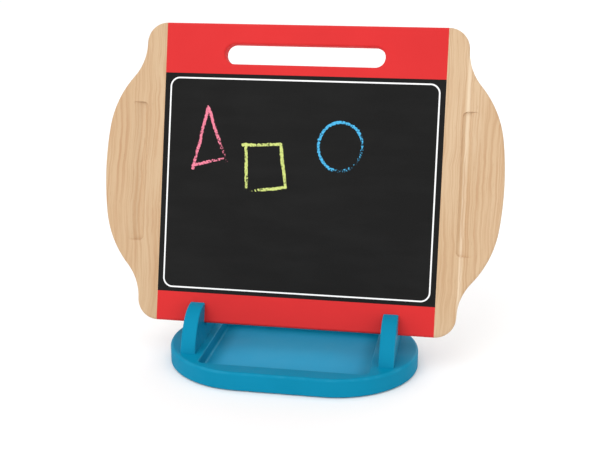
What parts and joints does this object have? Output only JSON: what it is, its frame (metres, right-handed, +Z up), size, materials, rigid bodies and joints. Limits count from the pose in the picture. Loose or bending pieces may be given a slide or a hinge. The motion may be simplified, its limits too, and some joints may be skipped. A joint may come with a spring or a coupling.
{
  "type": "kids easel",
  "caption": "Tabletop kids easel: reversible writing board with a handle slot and shaped wooden side grips, leaning in slotted fins on a round-ended base with a chalk tray.",
  "frame": {"origin": "on the table, under the middle of the base", "axes": "+X to the right as seen from the chalkboard side, +Y to the rear, +Z up"},
  "size_m": [0.4, 0.166, 0.3267],
  "materials": {
    "red_paint": "smooth satin red paint over wood",
    "blue_paint": "smooth satin blue paint over wood",
    "light_wood": "clear satin lacquer over straight-grained light wood",
    "chalkboard": "matt black chalkboard paint on thin hardboard, with a printed white border line",
    "dry_erase": "glossy white dry-erase surface",
    "fibreboard": "bare fibreboard",
    "dowel_wood": "bare fluted hardwood",
    "zinc_screw": "zinc plated",
    "foot_rubber": "matt"
  },
  "bodies": {
    "stand": {"base_plate": "blue_paint", "left_fin": "blue_paint", "right_fin": "blue_paint", "left_fin_front_screw": "zinc_screw", "left_fin_rear_screw": "zinc_screw", "right_fin_front_screw": "zinc_screw", "right_fin_rear_screw": "zinc_screw", "front_left_foot_pad": "foot_rubber", "rear_left_foot_pad": "foot_rubber", "front_right_foot_pad": "foot_rubber", "rear_right_foot_pad": "foot_rubber"},
    "board": {"top_rail": "red_paint", "bottom_rail": "red_paint", "core_panel": "fibreboard", "chalkboard_sheet": "chalkboard", "dry_erase_sheet": "dry_erase", "left_wing": "light_wood", "right_wing": "light_wood", "top_left_dowel_upper": "dowel_wood", "top_left_dowel_lower": "dowel_wood", "top_right_dowel_upper": "dowel_wood", "top_right_dowel_lower": "dowel_wood", "bottom_left_dowel_upper": "dowel_wood", "bottom_left_dowel_lower": "dowel_wood", "bottom_right_dowel_upper": "dowel_wood", "bottom_right_dowel_lower": "dowel_wood"}
  },
  "joints": [
    {"name": "board_lift", "type": "slide", "parent": "stand", "child": "board", "axis": [0, 0.2588, 0.9659], "range_m": [0, 0.06]}
  ]
}
